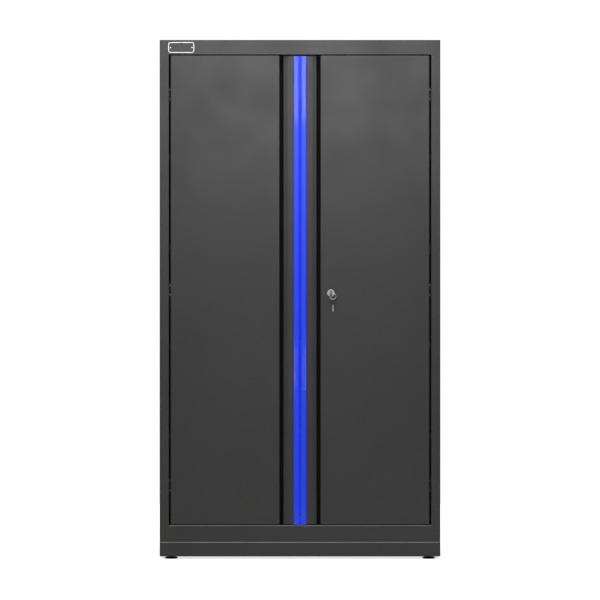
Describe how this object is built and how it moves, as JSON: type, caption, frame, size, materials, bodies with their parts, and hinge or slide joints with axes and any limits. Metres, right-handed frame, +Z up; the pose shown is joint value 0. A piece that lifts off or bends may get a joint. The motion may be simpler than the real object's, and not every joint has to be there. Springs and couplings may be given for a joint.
{
  "type": "locker cabinet",
  "caption": "Tall steel locker cabinet with twin hinged doors, full-height finger grooves and coloured edge strips, a key lock with rods, adjustable shelves and levelling feet.",
  "frame": {"origin": "on the floor, at the middle of the whole object's outline seen from above, with the keys that stand out in front counted in", "axes": "+Z up, -Y towards the front (the doors), +X towards the right door as seen from the front"},
  "size_m": [1, 0.485, 1.85],
  "materials": {
    "frame_paint": "dark grey powder coat, satin, fine texture",
    "shelf_paint": "dark grey powder coat, satin",
    "door_paint": "dark grey powder coat, satin, fine texture",
    "blue_trim": "bright blue, semi-gloss",
    "zinc_steel": "bright zinc plate",
    "lock_chrome": "polished nickel chrome",
    "key_steel": "nickel-plated steel",
    "black_plastic": "moulded, satin",
    "buffer_rubber": "matte",
    "plate_metal": "satin anodised"
  },
  "bodies": {
    "cabinet": {"left_side_panel": "frame_paint", "right_side_panel": "frame_paint", "roof_panel": "frame_paint", "top_rail": "frame_paint", "bottom_rail": "frame_paint", "floor_panel": "frame_paint", "back_panel": "frame_paint", "plinth_front": "frame_paint", "plinth_back": "frame_paint", "left_plinth_side": "frame_paint", "right_plinth_side": "frame_paint", "plinth_corner_plates": "frame_paint", "shelf_uprights": "frame_paint", "door_stop_brackets": "frame_paint", "shelf_1": "shelf_paint", "shelf_2": "shelf_paint", "shelf_3": "shelf_paint", "shelf_4": "shelf_paint", "foot_nuts": "zinc_steel", "shelf_clips": "zinc_steel", "left_hinge_frame_leaves": "zinc_steel", "right_hinge_frame_leaves": "zinc_steel", "door_buffers": "buffer_rubber", "nameplate": "plate_metal", "nameplate_rivets": "plate_metal"},
    "left_door": {"left_door_skin": "door_paint", "left_door_liner": "door_paint", "left_door_trim": "blue_trim", "left_hinge_door_forks": "zinc_steel", "left_hinge_pins": "zinc_steel", "left_bolt_guides": "black_plastic"},
    "right_door": {"right_door_skin": "door_paint", "right_door_liner": "door_paint", "right_door_trim": "blue_trim", "right_hinge_door_forks": "zinc_steel", "right_hinge_pins": "zinc_steel", "lock_barrel": "lock_chrome", "lock_nut": "zinc_steel", "lock_case": "door_paint", "rod_guides": "black_plastic"},
    "lock_cylinder": {"lock_plug": "lock_chrome", "lock_pinion": "zinc_steel", "pinion_screw": "zinc_steel", "key_blade": "key_steel", "key_bow": "black_plastic"},
    "upper_rod": {"upper_locking_rod": "zinc_steel"},
    "lower_rod": {"lower_locking_rod": "zinc_steel"},
    "ring": {"key_ring": "key_steel"},
    "spare_key": {"spare_key_bow": "black_plastic", "spare_key_blade": "key_steel"},
    "top_bolt": {"left_top_bolt": "zinc_steel"},
    "bottom_bolt": {"left_bottom_bolt": "zinc_steel"},
    "front_left_levelling_foot": {"front_left_foot": "black_plastic"},
    "front_right_levelling_foot": {"front_right_foot": "black_plastic"},
    "rear_left_levelling_foot": {"rear_left_foot": "black_plastic"},
    "rear_right_levelling_foot": {"rear_right_foot": "black_plastic"}
  },
  "joints": [
    {"name": "left_door_hinge", "type": "hinge", "parent": "cabinet", "child": "left_door", "pos_m": [-0.453, -0.1985, 0.959], "axis": [0, 0, -1], "range_deg": [0, 105]},
    {"name": "right_door_hinge", "type": "hinge", "parent": "cabinet", "child": "right_door", "pos_m": [0.453, -0.1985, 0.959], "axis": [0, 0, 1], "range_deg": [0, 105]},
    {"name": "upper_rod_slide", "type": "slide", "parent": "right_door", "child": "upper_rod", "axis": [0, 0, 1], "range_m": [0, 0.0188]},
    {"name": "lower_rod_slide", "type": "slide", "parent": "right_door", "child": "lower_rod", "axis": [0, 0, -1], "range_m": [0, 0.0188]},
    {"name": "key_turn", "type": "hinge", "parent": "right_door", "child": "lock_cylinder", "pos_m": [0.11, -0.2065, 0.948], "axis": [0, -1, 0], "range_deg": [0, 90]},
    {"name": "key_ring_swing", "type": "hinge", "parent": "lock_cylinder", "child": "ring", "pos_m": [0.11, -0.2315, 0.944], "axis": [0, -1, 0], "range_deg": [-45, 0]},
    {"name": "spare_key_swing", "type": "hinge", "parent": "ring", "child": "spare_key", "pos_m": [0.1173, -0.2315, 0.92595], "axis": [0, -1, 0], "range_deg": [-35, 35]},
    {"name": "left_top_bolt_slide", "type": "slide", "parent": "left_door", "child": "top_bolt", "axis": [0, 0, 1], "range_m": [0, 0.016]},
    {"name": "left_bottom_bolt_slide", "type": "slide", "parent": "left_door", "child": "bottom_bolt", "axis": [0, 0, -1], "range_m": [0, 0.016]},
    {"name": "front_left_foot_turn", "type": "hinge", "parent": "cabinet", "child": "front_left_levelling_foot", "pos_m": [-0.46, -0.1675, 0.01], "axis": [0, 0, 1], "continuous": true},
    {"name": "front_right_foot_turn", "type": "hinge", "parent": "cabinet", "child": "front_right_levelling_foot", "pos_m": [0.46, -0.1675, 0.01], "axis": [0, 0, 1], "continuous": true},
    {"name": "rear_left_foot_turn", "type": "hinge", "parent": "cabinet", "child": "rear_left_levelling_foot", "pos_m": [-0.46, 0.2025, 0.01], "axis": [0, 0, 1], "continuous": true},
    {"name": "rear_right_foot_turn", "type": "hinge", "parent": "cabinet", "child": "rear_right_levelling_foot", "pos_m": [0.46, 0.2025, 0.01], "axis": [0, 0, 1], "continuous": true}
  ],
  "couplings": [
    {"joint": "key_turn", "follows": "upper_rod_slide", "rad_per_m": 83.333},
    {"joint": "lower_rod_slide", "follows": "upper_rod_slide", "ratio": 1}
  ]
}
